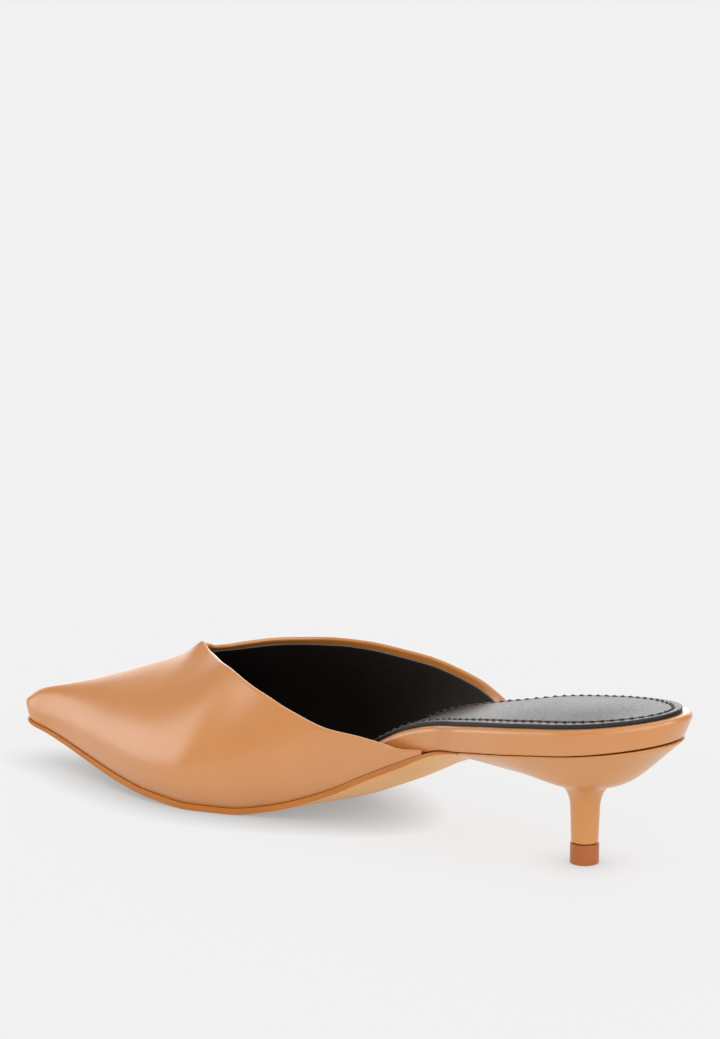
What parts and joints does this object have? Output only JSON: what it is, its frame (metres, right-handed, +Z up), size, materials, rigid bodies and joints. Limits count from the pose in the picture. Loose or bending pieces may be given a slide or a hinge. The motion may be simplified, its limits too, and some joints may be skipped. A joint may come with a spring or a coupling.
{
  "type": "kitten heel mule",
  "caption": "Backless pointed-toe mule for a right foot: leather upper with a V-cut topline, padded sock, wrapped footbed and a low slim kitten heel.",
  "frame": {"origin": "on the floor, at the centre of the heel tip's underside", "axes": "+X from the heel towards the toe along the shoe, +Y towards the inner side of the foot, +Z up; the shoe stands on the floor at z = 0"},
  "size_m": [0.2611, 0.0736, 0.0578],
  "materials": {
    "upper_leather": "smooth semi-gloss",
    "outsole_leather": "painted satin",
    "footbed_leather": "smooth semi-gloss",
    "sock_leather": "smooth semi-gloss",
    "heel_lacquer": "gloss",
    "tip_plastic": "satin"
  },
  "bodies": {
    "root": {"upper": "upper_leather", "outsole": "outsole_leather", "footbed": "footbed_leather", "sock": "sock_leather", "heel": "heel_lacquer", "heel_tip": "tip_plastic"}
  },
  "joints": []
}
